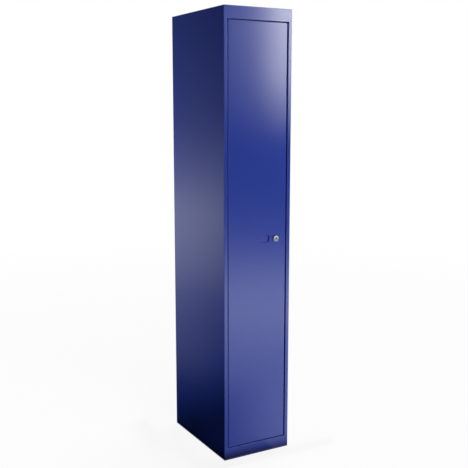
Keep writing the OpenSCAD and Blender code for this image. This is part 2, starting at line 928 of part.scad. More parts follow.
// Screw that holds the cam on the plug
module cam_screw() {
    head_y = cam_y + cam_t;
    color(ZINC)
        translate([lock_x, 0, lock_z]) {
            rod_y(cam_screw_r, head_y - cam_screw_l, head_y);
            difference() {
                rod_y(cam_screw_head_r, head_y, head_y + cam_screw_head_t);
                along_y(head_y + cam_screw_head_t / 2, head_y + cam_screw_head_t + CUT)
                    square([2 * cam_screw_head_r + CUT, screw_slot_w], center = true);
            }
        }
}

// Levelling feet: a threaded stem with a hexagon collar, set in a plastic pad
module foot_stem(side, end) {
    color(ZINC)
        translate([side * foot_x, end * foot_y, 0]) {
            translate([0, 0, stem_z])
                cylinder(r = stem_r, h = stem_top - stem_z);
            translate([0, 0, collar_z])
                hexagon(collar_flats, collar_t);
        }
}
module foot_pad(side, end) {
    color(RUBBER)
        translate([side * foot_x, end * foot_y, 0])
            difference() {
                translate([0, 0, pad_lift])
                    rotate_extrude()
                        polygon([[0, 0], [pad_r - pad_bevel, 0], [pad_r, pad_bevel],
                            [pad_r, pad_t - 2 * pad_bevel], [pad_r - 2 * pad_bevel, pad_t], [0, pad_t]]);
                translate([0, 0, stem_z])
                    cylinder(r = stem_r + seat_gap, h = pad_t);
            }
}
module foot_stem_front_left() {
    foot_stem(-1, -1);
}
module foot_stem_front_right() {
    foot_stem(1, -1);
}
module foot_stem_rear_left() {
    foot_stem(-1, 1);
}
module foot_stem_rear_right() {
    foot_stem(1, 1);
}
module foot_pad_front_left() {
    foot_pad(-1, -1);
}
module foot_pad_front_right() {
    foot_pad(1, -1);
}
module foot_pad_rear_left() {
    foot_pad(-1, 1);
}
module foot_pad_rear_right() {
    foot_pad(1, 1);
}

side_panel_left();
side_panel_right();
back_panel();
top_panel();
rear_rail();
header_rail();
bottom_rail();
base_frame();
base_panel();
hat_shelf();
shelf_brackets();
shelf_rivets();
coat_rail();
rail_cups();
hinge_bushes();
door_buffers();
foot_brackets();
foot_nuts();
door_skin();
door_stiffener();
hinge_pin_top();
hinge_pin_bottom();
pin_brackets();
lock_housing();
lock_nut();
lock_plug();
lock_wafers();
lock_cam();
cam_screw();
foot_stem_front_left();
foot_stem_front_right();
foot_stem_rear_left();
foot_stem_rear_right();
foot_pad_front_left();
foot_pad_front_right();
foot_pad_rear_left();
foot_pad_rear_right();
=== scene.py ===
"""Looks for a tall single-door steel locker: its finishes, its turned and threaded parts, the studio and
the camera."""
import json
import math

import bpy
import numpy as np
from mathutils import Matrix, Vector


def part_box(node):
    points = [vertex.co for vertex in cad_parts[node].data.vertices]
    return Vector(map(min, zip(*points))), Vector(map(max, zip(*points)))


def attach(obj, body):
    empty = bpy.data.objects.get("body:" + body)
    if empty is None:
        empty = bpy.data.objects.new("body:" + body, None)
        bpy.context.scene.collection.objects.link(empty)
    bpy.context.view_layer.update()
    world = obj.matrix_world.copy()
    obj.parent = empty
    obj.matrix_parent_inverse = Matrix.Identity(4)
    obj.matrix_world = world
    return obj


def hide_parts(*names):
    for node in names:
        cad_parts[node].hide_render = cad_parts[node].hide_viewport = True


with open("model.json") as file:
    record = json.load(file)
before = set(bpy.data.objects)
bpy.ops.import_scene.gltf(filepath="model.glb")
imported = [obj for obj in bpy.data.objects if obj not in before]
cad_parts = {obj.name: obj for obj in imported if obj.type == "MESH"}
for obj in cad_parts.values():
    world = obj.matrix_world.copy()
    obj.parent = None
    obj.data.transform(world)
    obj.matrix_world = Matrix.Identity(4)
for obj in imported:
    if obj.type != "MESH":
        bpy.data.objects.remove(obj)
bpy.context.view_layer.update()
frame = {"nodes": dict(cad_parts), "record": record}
nodes = frame["nodes"]
bpy.context.scene.view_settings.view_transform = "Standard"

MM = 0.001
UPWARD = (0, 0, 1)
RIGHTWARD = (1, 0, 0)
TO_FRONT = (0, -1, 0)
TO_BACK = (0, 1, 0)
WHITE = (1, 1, 1)


def extent(node):
    """Lowest and highest corner of a CAD node, and the middle between them."""
    low, high = (np.array(corner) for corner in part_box(node))
    return low, high, (low + high) / 2


# Camera: where it stands on the photographer's side of the locker, in metres, and how it is aimed
CAMERA_PLACE = (-1.59798, -2.87533, 1.41343)
CAMERA_YAW = 29.364
CAMERA_PITCH = -8.984
LENS_MM = 60.33
SENSOR_MM = 36

camera_data = bpy.data.cameras.new("camera")
camera_data.lens = LENS_MM
camera_data.sensor_width = SENSOR_MM
camera = bpy.data.objects.new("camera", camera_data)
camera.location = CAMERA_PLACE
camera.rotation_euler = (math.radians(90 + CAMERA_PITCH), 0, -math.radians(CAMERA_YAW))
bpy.context.scene.collection.objects.link(camera)
bpy.context.scene.camera = camera


# Materials

def linear(hex_colour):
    """An sRGB hex colour as linear red, green, blue and an alpha of 1."""
    s = np.array([int(hex_colour[i:i + 2], 16) for i in (1, 3, 5)]) / 255
    return (*np.where(s <= 0.04045, s / 12.92, ((s + 0.055) / 1.055) ** 2.4).tolist(), 1.0)


def add(tree, kind, inputs=None, **settings):
    """Adds one node. inputs maps a socket to a value, or to the output socket that is linked to it."""
    made = tree.nodes.new(kind)
    for name, value in settings.items():
        setattr(made, name, value)
    for name, value in (inputs or {}).items():
        if isinstance(value, bpy.types.NodeSocket):
            tree.links.new(value, made.inputs[name])
        else:
            made.inputs[name].default_value = value
    return made


def blank(name):
    """A material with an empty node tree, and that tree."""
    material = bpy.data.materials.new(name)
    material.use_nodes = True
    material.node_tree.nodes.clear()
    return material, material.node_tree


def per_metre(millimetres):
    """The noise scale at which one bump is that many millimetres long on Object coordinates."""
    return 1000 / millimetres


def powder_coated_steel():
    """Polyester powder coat, sprayed on folded sheet steel and baked: a smooth satin skin in deep
    ultramarine. The eye gets a soft broad highlight, a fine orange peel in it and a slow waviness of the
    thin sheet."""
    cloud_mm = 70
    wave_mm, wave_relief = 240, 0.4
    # The peel is drawn at 6 mm, twice the size of the real one, so that a close view shows it
    peel_mm, peel_relief = 6, 0.01
    material, tree = blank("powder_coated_steel")
    place = add(tree, "ShaderNodeTexCoord").outputs["Object"]
    cloud = add(tree, "ShaderNodeTexNoise",
                {"Vector": place, "Scale": per_metre(cloud_mm), "Detail": 2.0}).outputs["Fac"]
    tone = add(tree, "ShaderNodeMixRGB", {0: cloud, 1: linear("#162d82"), 2: linear("#172f86")})
    gloss = add(tree, "ShaderNodeMapRange", {"Value": cloud, "To Min": 0.24, "To Max": 0.26})
    peel = add(tree, "ShaderNodeTexNoise", {"Vector": place, "Scale": per_metre(peel_mm), "Detail": 1.0})
    wave = add(tree, "ShaderNodeTexNoise", {"Vector": place, "Scale": per_metre(wave_mm), "Detail": 0.0})
    sheet = add(tree, "ShaderNodeBump",
                {"Height": wave.outputs["Fac"], "Strength": 1.0, "Distance": wave_relief * MM})
    skin = add(tree, "ShaderNodeBump",
               {"Height": peel.outputs["Fac"], "Strength": 1.0, "Distance": peel_relief * MM,
                "Normal": sheet.outputs["Normal"]})
    shader = add(tree, "ShaderNodeBsdfPrincipled",
                 {"Base Color": tone.outputs["Color"], "Roughness": gloss.outputs["Result"],
                  "Normal": skin.outputs["Normal"], "IOR": 1.5})
    add(tree, "ShaderNodeOutputMaterial", {"Surface": shader.outputs["BSDF"]})
    return material


def clouded(name, tones, grain, gloss, metal=0.0, relief=0.0):
    """A material whose tone and roughness drift together, each between two values, over clouds of grain
    millimetres, with a relief of that many millimetres."""
    material, tree = blank(name)
    place = add(tree, "ShaderNodeTexCoord").outputs["Object"]
    cloud = add(tree, "ShaderNodeTexNoise",
                {"Vector": place, "Scale": per_metre(grain), "Detail": 2.0}).outputs["Fac"]
    tone = add(tree, "ShaderNodeMixRGB", {0: cloud, 1: linear(tones[0]), 2: linear(tones[1])})
    rough = add(tree, "ShaderNodeMapRange", {"Value": cloud, "To Min": gloss[0], "To Max": gloss[1]})
    bump = add(tree, "ShaderNodeBump", {"Height": cloud, "Strength": 1.0, "Distance": relief * MM})
    shader = add(tree, "ShaderNodeBsdfPrincipled",
                 {"Base Color": tone.outputs["Color"], "Roughness": rough.outputs["Result"],
                  "Metallic": metal, "Normal": bump.outputs["Normal"]})
    add(tree, "ShaderNodeOutputMaterial", {"Surface": shader.outputs["BSDF"]})
    return material


# The key slot of the lock's plug, in mm: its width and height, how far it reaches from the axis, its depth
# and the bevel round its mouth
SLOT_W = 2.6
SLOT_H = 8.0
SLOT_R = 4.2
SLOT_L = 20.0
SLOT_BEVEL = 0.25


def turned_nickel():
    """Die-cast zinc, turned on its face and plated with satin nickel: a cool silver grey. The rings of the
    lathe pull the highlight into a soft cross. Inside the key slot the colour is painted shade: it turns
    near black, growing from 0.2 mm deep to full at 1 mm."""
    # The rings are drawn 0.4 mm apart, coarser than real ones, so that a close view shows them
    ring_mm, ring_relief = 0.4, 0.02
    stain_mm = 5
    # Depths at which the painted shade inside the key slot starts and becomes full near black
    shade_start_mm, shade_full_mm = 0.2, 1
    slot_reach = SLOT_R + 0.3
    material, tree = blank("turned_satin_nickel")
    axis = extent("lock_housing")[2]
    face = float(extent("lock_plug")[0][1])
    place = add(tree, "ShaderNodeTexCoord").outputs["Object"]
    offset = add(tree, "ShaderNodeVectorMath", {0: place, 1: tuple(axis)}, operation="SUBTRACT")
    across = add(tree, "ShaderNodeVectorMath", {0: offset.outputs["Vector"], 1: (1, 0, 1)},
                 operation="MULTIPLY")
    radius = add(tree, "ShaderNodeVectorMath", {0: across.outputs["Vector"]}, operation="LENGTH")
    lathe = add(tree, "ShaderNodeTexNoise",
                {"W": radius.outputs["Value"], "Scale": per_metre(ring_mm), "Detail": 1.0},
                noise_dimensions="1D")
    stain = add(tree, "ShaderNodeTexNoise",
                {"Vector": place, "Scale": per_metre(stain_mm), "Detail": 2.0}).outputs["Fac"]
    plate = add(tree, "ShaderNodeMixRGB", {0: stain, 1: linear("#888e96"), 2: linear("#9399a0")})
    behind = add(tree, "ShaderNodeVectorMath", {0: place, 1: TO_BACK}, operation="DOT_PRODUCT")
    # Painted shade: within the slot's reach of the axis, the walls of the key slot darken with depth
    deep = add(tree, "ShaderNodeMapRange",
               {"Value": behind.outputs["Value"], "From Min": face + shade_start_mm * MM,
                "From Max": face + shade_full_mm * MM})
    inside = add(tree, "ShaderNodeMath", {0: radius.outputs["Value"], 1: slot_reach * MM},
                 operation="LESS_THAN")
    slot_painted_shade = add(tree, "ShaderNodeMath", {0: deep.outputs["Result"], 1: inside.outputs[0]},
               operation="MULTIPLY")
    # The plate's tone, painted near black as shade inside the key slot
    tone = add(tree, "ShaderNodeMixRGB",
               {0: slot_painted_shade.outputs[0], 1: plate.outputs["Color"], 2: linear("#0e0e0f")})
    rough = add(tree, "ShaderNodeMapRange",
                {"Value": lathe.outputs["Fac"], "To Min": 0.22, "To Max": 0.36})
    grooves = add(tree, "ShaderNodeBump",
                  {"Height": lathe.outputs["Fac"], "Strength": 1.0, "Distance": ring_relief * MM})
    shader = add(tree, "ShaderNodeBsdfPrincipled",
                 {"Base Color": tone.outputs["Color"], "Roughness": rough.outputs["Result"],
                  "Metallic": 1.0, "Normal": grooves.outputs["Normal"]})
    add(tree, "ShaderNodeOutputMaterial", {"Surface": shader.outputs["BSDF"]})
    return material


finishes = {
    "blue_paint": powder_coated_steel(),
    # Bright zinc plate on pressed and threaded steel: light grey, faintly blue, with a cloudy sheen
    "zinc_plate": clouded("zinc_plated_steel", ("#a4a9b0", "#c2c6cb"), grain=4, gloss=(0.26, 0.42),
                          metal=1.0),
    # Chrome on drawn tube: almost a mirror, slightly dulled by hangers
    "chrome_tube": clouded("chrome_plated_tube", ("#c9cdd2", "#d8dbde"), grain=30, gloss=(0.08, 0.14),
                           metal=1.0),
    "satin_nickel": turned_nickel(),
    # Stamped brass: yellow, with dull patches
    "brass": clouded("stamped_brass", ("#b0873c", "#c99d4e"), grain=2, gloss=(0.25, 0.40), metal=1.0),
    # Nylon moulded in black: soft sheen with a faint grain
    "nylon": clouded("black_nylon", ("#242528", "#2c2d30"), grain=3, gloss=(0.40, 0.50), relief=0.02),
    # Polypropylene moulded in black: satin, with the spark-eroded grain of the mould
    "black_plastic": clouded("black_moulded_plastic", ("#151517", "#1c1c1f"), grain=2, gloss=(0.45, 0.60),
                             relief=0.03),
    # Moulded rubber: matt black, with a dusty bloom
    "black_rubber": clouded("black_rubber", ("#131313", "#1d1d1c"), grain=2, gloss=(0.60, 0.75),
                            relief=0.05),
}
for part in frame["record"]["subparts"]:
    slots = nodes[part["node"]].data.materials
    slots.clear()
    slots.append(finishes[part["material_slot"]])


# Turned, threaded and hexagonal pieces. A profile is a list of (radius, distance along the axis) in mm

# Two points of a profile this far apart along the axis make a square step
STEP = 0.01
# Spacing of a profile's points along a thread
THREAD_STEP = 0.15
# Keeps a sine or cosine away from 0 where something is divided by it
TINY = 1e-6


def arc(radius, along, r, start, end, steps=7):
    """Part of a profile: a circle of radius r about (radius, along), from start to end in degrees."""
    a = np.radians(np.linspace(start, end, steps))
    return np.stack([radius + r * np.cos(a), along + r * np.sin(a)], 1).tolist()


def straight(radius, start, end, step):
    """Part of a profile: points of one radius from start to end, at most step apart."""
    count = math.ceil(abs(end - start) / step) + 1
    return [(radius, along) for along in np.linspace(start, end, count)]


def hexagon_blank(flats, start, end, steps=4):
    """Part of a profile: a round bar a little wider than the hexagon's corners, bevelled at 30 degrees at
    both ends to a little less than its flats. hexagon() then trims it to the flats."""
    inner, outer = 0.48 * flats, 0.58 * flats
    grow = np.linspace(0, 1, steps)
    rise = (outer - inner) * math.tan(math.radians(30))
    widen = np.stack([inner + (outer - inner) * grow, start + rise * grow], 1).tolist()
    narrow = np.stack([outer - (outer - inner) * grow, end - rise + rise * grow], 1).tolist()
    return widen + narrow


def hexagon(flats, corner=0):
    """A form that trims a radius to a hexagon with a corner at that angle in degrees: half the distance
    across the flats over the cosine of the angle from the middle of the nearest side."""
    def trim(radius, along, angle):
        from_middle = (angle - math.radians(corner)) % (math.pi / 3) - math.pi / 6
        return np.minimum(radius, flats / 2 / np.cos(from_middle))
    return trim


def thread(crest, pitch, depth, start, end):
    """A form that cuts a right-hand thread into a bar: the radius falls and rises evenly by depth once each
    pitch along, and the groove winds round by one pitch a turn and fades out over a pitch at each end."""
    def cut(radius, along, angle):
        groove = np.abs(2 * ((along / pitch - angle / (2 * np.pi)) % 1) - 1)
        fade = np.clip(np.minimum(along - start, end - along) / pitch, 0, 1)
        return np.where(radius >= crest, radius - depth * groove * fade, radius)
    return cut


def rings(profile, foot, axis, around=96, forms=()):
    """A turned form: at each point of the profile, a circle of its radius about the axis line, at its
    distance along the line from its foot. Each form takes radius, distance and angle and gives another
    radius."""
    axis = np.array(axis)
    radius, along = np.array(profile).T
    angle = np.linspace(0, 2 * np.pi, around, endpoint=False)
    radius, along, angle = np.broadcast_arrays(radius[:, None], along[:, None], angle)
    for form in forms:
        radius = form(radius, along, angle)
    right = np.roll(axis, 1)
    ahead = np.cross(axis, right)
    offset = (along[..., None] * axis + radius[..., None]
              * (np.cos(angle)[..., None] * right + np.sin(angle)[..., None] * ahead))
    return np.array(foot) + MM * offset


def shell(points, loop):
    """Vertices and faces over rings of points. With loop the last ring joins the first, and otherwise each
    end closes in a fan on its middle point."""
    rows, around = points.shape[:2]
    i, j = np.mgrid[0:rows if loop else rows - 1, 0:around]
    k, n = (i + 1) % rows, (j + 1) % around
    faces = np.stack([i * around + j, i * around + n, k * around + n, k * around + j], -1)
    faces = faces.reshape(-1, 4).tolist()
    vertices = points.reshape(-1, 3)
    if loop:
        return vertices, faces
    j = np.arange(around)
    n = (j + 1) % around
    top = (rows - 1) * around
    first, last = np.full(around, rows * around), np.full(around, rows * around + 1)
    faces += np.stack([n, j, first], -1).tolist() + np.stack([top + j, top + n, last], -1).tolist()
    return np.vstack([vertices, points[0].mean(0), points[-1].mean(0)]), faces


def piece(name, forms, body, finish, loop=False, crease=35):
    """One object of one or more ringed forms, in place of the CAD node it is named for. It rides on that
    body, and an edge stays sharp where it turns by more than crease degrees."""
    vertices, faces, base = [], [], 0
    for points in forms:
        some_vertices, some_faces = shell(points, loop)
        vertices.append(some_vertices)
        faces += [[base + index for index in face] for face in some_faces]
        base += len(some_vertices)
    mesh = bpy.data.meshes.new(name)
    mesh.from_pydata(np.vstack(vertices).tolist(), [], faces)
    mesh.polygons.foreach_set("use_smooth", np.ones(len(faces), bool))
    mesh.set_sharp_from_angle(angle=math.radians(crease))
    mesh.materials.append(finishes[finish])
    made = bpy.data.objects.new("fine_" + name, mesh)
    bpy.context.scene.collection.objects.link(made)
    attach(made, body)
    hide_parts(name)


door_front = extent("door_skin")[0][1]


def lock_housing():
    """The lock's turned head with a rolled rim and a dished face, on a threaded body, bored through. Two
    flats trim the body to half their distance over the sine of the angle."""
    low, high, axis = extent("lock_housing")
    head_r, head_l = (high[0] - low[0]) / 2 / MM, (door_front - low[1]) / MM
    rear = (door_front - high[1]) / MM
    rim, taper, under = 1.5, 0.8, 0.2
    land, slope, dish = 0.6, 0.5, 0.25
    bore, bore_edge = 6.55, 0.3
    body_r, body_edge, flats = 9.5, 0.6, 16.5
    pitch, depth, runout = 1.0, 0.5, 1
    face_r, face = head_r - taper - rim, head_l - dish
    profile = ([(bore + bore_edge, rear), (body_r - body_edge, rear)]
               + straight(body_r, rear + body_edge, -runout, THREAD_STEP)
               + [(body_r, -STEP), (head_r - under, 0), (head_r, under)]
               + arc(face_r, head_l - rim, rim, start=0, end=90)
               + [(face_r - land, head_l), (face_r - land - slope, face), (bore + bore_edge, face),
                  (bore, face - bore_edge), (bore, rear + bore_edge)])

    def flatten(radius, along, angle):
        # A sine under 0.1 would only trim to more than the body's radius
        narrowed = np.minimum(radius, flats / 2 / np.maximum(np.abs(np.sin(angle)), 0.1))
        return np.where(along < 0, narrowed, radius)

    forms = (thread(body_r, pitch, depth, rear + body_edge, -runout), flatten)
    foot = (axis[0], door_front, axis[2])
    turned = rings(profile, foot, TO_FRONT, around=144, forms=forms)
    piece("lock_housing", [turned], "door", "satin_nickel", loop=True)


def lock_plug():
    """The turning plug: a round barrel with a bevelled key slot sunk in its face and a square drive behind.
    Within the slot's reach a radius is trimmed to a rectangle, which widens over the bevel, and in the
    drive to a square: half the side over the sine or cosine of the angle, whichever gives less."""
    low, high, axis = extent("lock_plug")
    radius = (high[0] - low[0]) / 2 / MM
    face, rear = (door_front - low[1]) / MM, (door_front - high[1]) / MM
    drive, drive_l, drive_r, drive_edge = 8.0, 2.3, 5.7, 0.5
    edge = 0.3
    shoulder = rear + drive_l
    profile = [(drive_r - drive_edge, rear), (drive_r, rear + edge), (drive_r, shoulder),
               (radius - edge, shoulder + STEP), (radius, shoulder + edge), (radius, face - edge),
               (radius - edge, face), (SLOT_R + SLOT_BEVEL, face), (SLOT_R, face - SLOT_BEVEL),
               (SLOT_R, face - SLOT_L)]

    def cut(r, along, angle):
        sine = np.maximum(np.abs(np.sin(angle)), TINY)
        cosine = np.maximum(np.abs(np.cos(angle)), TINY)
        grown = r - SLOT_R
        slot = np.minimum((SLOT_W / 2 + grown) / sine, (SLOT_H / 2 + grown) / cosine)
        square = np.minimum(r, drive / 2 / np.maximum(sine, cosine))
        sunk = np.where(r <= SLOT_R + SLOT_BEVEL, np.minimum(slot, r), r)
        return np.where(along <= shoulder, square, sunk)

    foot = (axis[0], door_front, axis[2])
    turned = rings(profile, foot, TO_FRONT, around=192, forms=[cut])
    piece("lock_plug", [turned], "plug", "satin_nickel")


def nut(node, places, body, flats, bore, axis, corner=0):
    """Hexagon nuts of one node: a bevelled blank trimmed to a hexagon, with a countersunk bore. places has
    the middle of each nut's foot."""
    low, high, _ = extent(node)
    thick = np.abs((high - low) @ np.array(axis)) / MM
    sink = 0.3
    profile = ([(bore, sink), (bore + sink, 0)] + hexagon_blank(flats, 0, thick)
               + [(bore + sink, thick), (bore, thick - sink)])
    forms = [rings(profile, place, axis, forms=[hexagon(flats, corner)]) for place in places]
    piece(node, forms, body, "zinc_plate", loop=True)


def foot_stem(corner):
    """A levelling foot's M8 stem, a threaded rod with a hexagon collar under it."""
    node = "foot_stem_" + corner
    low, high, axis = extent(node)
    start, end = low[2] / MM, high[2] / MM
    stem_r, low_edge, top_edge = 4.0, 0.6, 0.7
    collar_low, collar_top, flats = 8.0, 12.0, 13.0
    pitch, depth, runout = 1.25, 0.6, 0.5
    profile = ([(stem_r - low_edge, start), (stem_r, start + low_edge), (stem_r, collar_low - STEP)]
               + hexagon_blank(flats, collar_low, collar_top)
               + straight(stem_r, collar_top + STEP, end - top_edge, THREAD_STEP)
               + [(stem_r - top_edge, end)])
    forms = (thread(stem_r, pitch, depth, collar_top + runout, end), hexagon(flats))
    turned = rings(profile, (axis[0], axis[1], 0), UPWARD, forms=forms)
    piece(node, [turned], "foot_" + corner, "zinc_plate")


def foot_pad(corner):
    """A levelling foot's moulded pad. Shallow flutes for the fingers take up to 0.3 mm off its rim, with
    the cosine of the angle times their number, and fade out inwards."""
    node = "foot_pad_" + corner
    low, high, axis = extent(node)
    pad_r, thick = (high[0] - low[0]) / 2 / MM, (high[2] - low[2]) / MM
    bevel, shoulder_r, shoulder = 1.0, 1.6, thick - 2.6
    slope_in, slope_drop, top_in = 3, 0.3, 4
    hole, hole_edge, hole_floor = 4.1, 0.2, 3.9
    flutes, flute_depth, flute_w = 20, 0.3, 2
    profile = ([(pad_r - bevel, 0)] + arc(pad_r - bevel, bevel, bevel, start=-80, end=0)
               + [(pad_r, shoulder)] + arc(pad_r - shoulder_r, shoulder, shoulder_r, start=15, end=70)
               + [(pad_r - slope_in, thick - slope_drop), (pad_r - top_in, thick),
                  (hole + hole_edge, thick), (hole, thick - hole_edge), (hole, hole_floor)])

    def flute(radius, along, angle):
        rim = np.clip((radius - pad_r + flute_w) / flute_w, 0, 1)
        return radius - flute_depth * rim * (0.5 + 0.5 * np.cos(flutes * angle))

    foot = (axis[0], axis[1], low[2])
    turned = rings(profile, foot, UPWARD, around=240, forms=[flute])
    piece(node, [turned], "foot_" + corner, "black_plastic")


def door_buffers():
    """The rubber buffers: a domed head, a stem through the stop flange and a barb behind it."""
    low, high, axis = extent("door_buffers")
    head_r = (high[0] - low[0]) / 2 / MM
    face_in, dome, head_l = 1.4, 1.2, 2.7
    stem_r, barb_r, tip_r = 1.8, 2.0, 1.5
    barb, barb_end, tip = 3.7, 4.2, 4.7
    profile = ([(head_r - face_in, 0)] + arc(head_r - dome, dome, dome, start=-75, end=0)
               + [(head_r, head_l), (stem_r, head_l + STEP), (stem_r, barb - STEP), (barb_r, barb),
                  (barb_r, barb_end), (tip_r, tip)])
    places = [(axis[0], low[1], z) for z in (low[2] + head_r * MM, high[2] - head_r * MM)]
    forms = [rings(profile, place, TO_BACK, around=64) for place in places]
    piece("door_buffers", forms, "cabinet", "black_rubber")


def shelf_rivets():
    """The rivets of the hat shelf: a low domed head above and a rolled tail below."""
    low, high, _ = extent("shelf_rivets")
    tall = (high[2] - low[2]) / MM
    head_r, head_l, shank_r = 3.2, 0.8, 1.6
    tail_r, tail_l, tail_draft = 2.6, 0.8, 0.1
    roll_in, roll_low, roll_top = 0.4, 0.1, 0.5
    dimple_in, dimple = 0.6, 0.2
    head = tall - head_l
    # The dome: a share of the head's radius, and the height over the head's underside
    dome = ((1, 0.15), (0.8, 0.5), (0.5, 0.72), (0.2, head_l))
    profile = ([(shank_r - dimple_in, dimple), (shank_r, 0), (tail_r - roll_in, roll_low),
                (tail_r, roll_top), (tail_r - tail_draft, tail_l - STEP), (shank_r, tail_l),
                (shank_r, head - STEP), (head_r, head)]
               + [(share * head_r, head + rise) for share, rise in dome])
    edge = head_r * MM
    places = [(x, y, low[2]) for x in (low[0] + edge, high[0] - edge)
              for y in (low[1] + edge, high[1] - edge)]
    forms = [rings(profile, place, UPWARD, around=48) for place in places]
    piece("shelf_rivets", forms, "cabinet", "zinc_plate")


def coat_rail():
    """The drawn tube across the compartment, with its ends deburred."""
    low, high, axis = extent("coat_rail")
    outer, length = (high[2] - low[2]) / 2 / MM, (high[0] - low[0]) / MM
    wall, burr = 1.2, 0.3
    inner = outer - wall
    profile = [(inner + burr, 0), (outer - burr, 0), (outer, burr), (outer, length - burr),
               (outer - burr, length), (inner + burr, length), (inner, length - burr), (inner, burr)]
    foot = (low[0], axis[1], axis[2])
    tube = rings(profile, foot, RIGHTWARD, around=128)
    piece("coat_rail", [tube], "cabinet", "chrome_tube", loop=True)


lock_housing()
lock_plug()
nut_high, nut_middle = extent("lock_nut")[1:]
nut("lock_nut", [(nut_middle[0], nut_high[1], nut_middle[2])], "door", flats=24, bore=9.6, axis=TO_FRONT,
    corner=90)
feet = {side + "_" + hand: extent("foot_stem_" + side + "_" + hand)[2]
        for side in ("front", "rear") for hand in ("left", "right")}
foot_nuts_z = extent("foot_nuts")[0][2]
foot_nut_places = [(place[0], place[1], foot_nuts_z) for place in feet.values()]
nut("foot_nuts", foot_nut_places, "cabinet", flats=13, bore=4.05, axis=UPWARD)
for corner in feet:
    foot_stem(corner)
    foot_pad(corner)
door_buffers()
shelf_rivets()
coat_rail()


# Studio. Its places are in metres

def ray_share(tree):
    """1 for camera, glossy and transmission rays, 0 for the rays that carry diffuse light."""
    path = add(tree, "ShaderNodeLightPath").outputs
    shown = add(tree, "ShaderNodeMath", {0: path["Is Camera Ray"], 1: path["Is Glossy Ray"]},
                operation="MAXIMUM")
    return add(tree, "ShaderNodeMath", {0: shown.outputs[0], 1: path["Is Transmission Ray"]},
               operation="MAXIMUM").outputs[0]


def studio_floor():
    """Pale seamless paper. Seen directly it is almost white and keeps a share of its shadow; far out it is
    white. To diffuse rays it is dark on the left, where black cloth lies in the studio."""
    near_r, far_r = 2.0, 6.0
    shadow_share, near_glow = 0.12, 0.90
    cloth_edge, paper_edge, paper_tone = -0.16, -0.14, 0.75
    material, tree = blank("pale_seamless_floor")
    place = add(tree, "ShaderNodeTexCoord").outputs["Object"]
    far = add(tree, "ShaderNodeVectorMath", {0: place}, operation="LENGTH").outputs["Value"]
    fade = add(tree, "ShaderNodeMapRange", {"Value": far, "From Min": near_r, "From Max": far_r},
               interpolation_type="SMOOTHSTEP")
    paper = add(tree, "ShaderNodeBsdfDiffuse", {"Color": (shadow_share, shadow_share, shadow_share, 1)})
    glow = add(tree, "ShaderNodeEmission", {"Color": (*WHITE, 1), "Strength": near_glow})
    near = add(tree, "ShaderNodeAddShader", {0: paper.outputs[0], 1: glow.outputs[0]})
    white = add(tree, "ShaderNodeEmission", {"Color": (*WHITE, 1), "Strength": 1.0})
    seen = add(tree, "ShaderNodeMixShader",
               {0: fade.outputs["Result"], 1: near.outputs[0], 2: white.outputs[0]})
    across = add(tree, "ShaderNodeVectorMath", {0: place, 1: RIGHTWARD}, operation="DOT_PRODUCT")
    bounce = add(tree, "ShaderNodeMapRange",
                 {"Value": across.outputs["Value"], "From Min": cloth_edge, "From Max": paper_edge,
                  "To Min": 0.0, "To Max": paper_tone})
    lit = add(tree, "ShaderNodeBsdfDiffuse", {"Color": bounce.outputs["Result"]})
    both = add(tree, "ShaderNodeMixShader", {0: ray_share(tree), 1: lit.outputs[0], 2: seen.outputs[0]})
    add(tree, "ShaderNodeOutputMaterial", {"Surface": both.outputs[0]})
    return material


def emitter(name, axis, knots, tint):
    """Plain light of one tint whose strength changes along one Object axis: knots are (metres, strength),
    joined evenly."""
    material, tree = blank(name)
    first, last = knots[0][0], knots[-1][0]
    peak = max(strength for _, strength in knots)
    place = add(tree, "ShaderNodeTexCoord").outputs["Object"]
    along = add(tree, "ShaderNodeVectorMath", {0: place, 1: axis}, operation="DOT_PRODUCT")
    share = add(tree, "ShaderNodeMapRange",
                {"Value": along.outputs["Value"], "From Min": first, "From Max": last})
    ramp = add(tree, "ShaderNodeValToRGB", {"Fac": share.outputs["Result"]})
    while len(ramp.color_ramp.elements) < len(knots):
        ramp.color_ramp.elements.new(0.5)
    for element, (metres, strength) in zip(ramp.color_ramp.elements, knots):
        element.position = (metres - first) / (last - first)
        element.color = (*(strength / peak * part for part in tint), 1)
    glow = add(tree, "ShaderNodeEmission", {"Color": ramp.outputs["Color"], "Strength": peak})
    add(tree, "ShaderNodeOutputMaterial", {"Surface": glow.outputs[0]})
    return material


def heading(azimuth):
    """Unit vectors on the floor: straight out at an azimuth counted from the door's side, and to its
    right."""
    a = math.radians(azimuth)
    return np.array([math.sin(a), -math.cos(a), 0]), np.array([math.cos(a), math.sin(a), 0])


# The cards light the locker only, so that the floor stays even, and the brightest only its painted pieces
locker = bpy.data.collections.new("locker")
painted = bpy.data.collections.new("painted")
for made in [item for item in bpy.data.objects if item.type == "MESH"]:
    locker.objects.link(made)
    if made.data.materials[0] == finishes["blue_paint"]:
        painted.objects.link(made)


def card(name, corners, axis, knots, diffuse=False, glossy=True, shadow=False, lights=locker, tint=WHITE):
    """A flat studio card from four corners, unseen by the camera: a softbox, a reflector or a dark flag.
    Unless told otherwise it only shows as a reflection."""
    mesh = bpy.data.meshes.new(name)
    mesh.from_pydata([tuple(c) for c in corners], [], [(0, 1, 2, 3)])
    mesh.materials.append(emitter(name, axis, knots, tint))
    made = bpy.data.objects.new(name, mesh)
    bpy.context.scene.collection.objects.link(made)
    made.visible_camera = False
    made.visible_transmission = False
    made.visible_shadow = shadow
    made.light_linking.receiver_collection = lights
    made.visible_diffuse = diffuse
    made.visible_glossy = glossy


def upright(azimuth, distance, left, right, low, high):
    """Corners of an upright card across a heading, from left to right of it and from low to high."""
    out, side = heading(azimuth)
    up = np.array(UPWARD)
    edges = ((left, low), (right, low), (right, high), (left, high))
    return [out * distance + side * s + up * z for s, z in edges]


